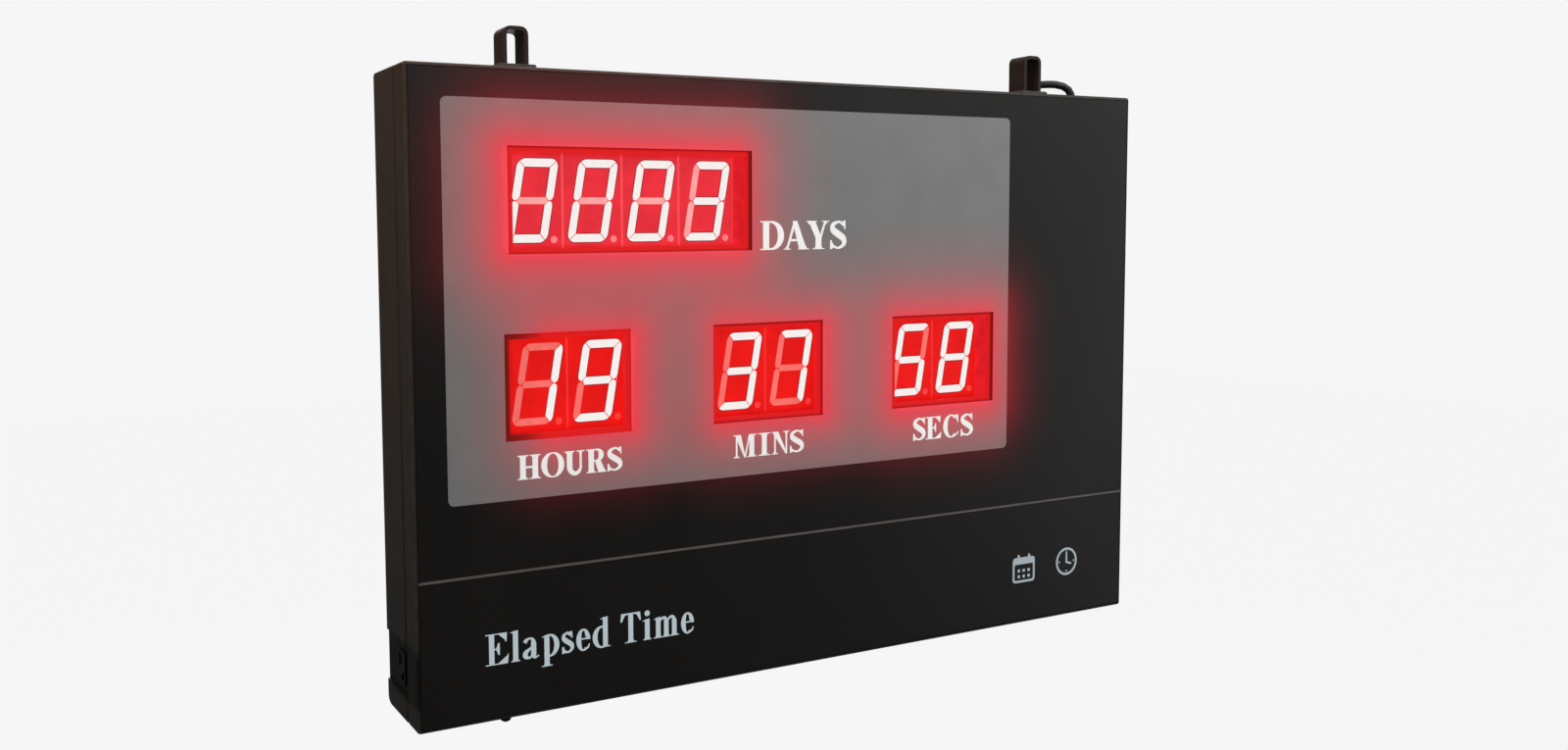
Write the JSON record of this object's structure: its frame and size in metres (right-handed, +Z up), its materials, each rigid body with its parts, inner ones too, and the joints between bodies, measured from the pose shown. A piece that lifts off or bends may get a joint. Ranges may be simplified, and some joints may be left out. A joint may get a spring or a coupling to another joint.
{
  "type": "led day counter",
  "caption": "Wall-hung LED day counter with a slim black case, digit windows for days, hours, minutes and seconds, strap hangers, side rocker switch, reset button and a short power lead.",
  "frame": {"origin": "middle of the plane of the case's back, where the case lies against a wall", "axes": "+X to the right as one faces the display, +Y from the display into the wall, +Z up"},
  "size_m": [0.4219, 0.0461, 0.3228],
  "materials": {
    "case_black": "fine matt moulded texture",
    "fascia_black": "satin printed panel",
    "divider_grey": "satin",
    "digit_red": "glossy moulded face lit from behind",
    "board_green": "solder mask",
    "screw_steel": "blackened",
    "chip_black": "moulded",
    "cell_steel": "bright",
    "terminal_green": "moulded",
    "heat_sink": "extruded",
    "ribbon_grey": "flexible",
    "lead_black": "flexible jacket",
    "strap_black": "satin black",
    "rubber_black": "matt",
    "button_black": "satin",
    "nut_steel": "bright"
  },
  "bodies": {
    "case": {"front_cover": "case_black", "rear_housing": "case_black", "back_panel": "case_black", "display_fascia": "fascia_black", "lower_fascia": "fascia_black", "divider_strip": "divider_grey", "days_digit_1": "digit_red", "days_digit_2": "digit_red", "days_digit_3": "digit_red", "days_digit_4": "digit_red", "hours_digit_1": "digit_red", "hours_digit_2": "digit_red", "mins_digit_1": "digit_red", "mins_digit_2": "digit_red", "secs_digit_1": "digit_red", "secs_digit_2": "digit_red", "display_board": "board_green", "main_board": "board_green", "display_screw_1": "screw_steel", "display_screw_2": "screw_steel", "display_screw_3": "screw_steel", "display_screw_4": "screw_steel", "main_board_screw_1": "screw_steel", "main_board_screw_2": "screw_steel", "main_board_screw_3": "screw_steel", "main_board_screw_4": "screw_steel", "hanger_screw_1": "screw_steel", "hanger_screw_2": "screw_steel", "hanger_screw_3": "screw_steel", "hanger_screw_4": "screw_steel", "cover_screw_1": "screw_steel", "cover_screw_2": "screw_steel", "cover_screw_3": "screw_steel", "cover_screw_4": "screw_steel", "back_panel_screw_1": "screw_steel", "back_panel_screw_2": "screw_steel", "back_panel_screw_3": "screw_steel", "back_panel_screw_4": "screw_steel", "controller_chip": "chip_black", "battery_holder": "chip_black", "clock_battery": "cell_steel", "terminal_block": "terminal_green", "voltage_regulator": "heat_sink", "ribbon_cable": "ribbon_grey", "inner_lead": "lead_black", "switch_lead": "lead_black", "button_lead": "lead_black", "power_lead": "lead_black", "lead_socket": "lead_black", "left_hanger": "strap_black", "right_hanger": "strap_black", "left_hanger_collar": "rubber_black", "right_hanger_collar": "rubber_black", "lead_grommet": "rubber_black", "power_switch_body": "button_black", "reset_button_body": "button_black", "reset_button_nut": "nut_steel"},
    "rocker": {"power_rocker": "button_black"},
    "button": {"reset_button_cap": "button_black"}
  },
  "joints": [
    {"name": "power_switch_rock", "type": "hinge", "parent": "case", "child": "rocker", "pos_m": [-0.2064, -0.022, -0.1213], "axis": [0, -1, 0], "range_deg": [0, 22]},
    {"name": "reset_button_push", "type": "slide", "parent": "case", "child": "button", "axis": [0, 0, 1], "range_m": [0, 0.002], "stiffness_N_per_m": 400, "springref_m": -0.001}
  ]
}
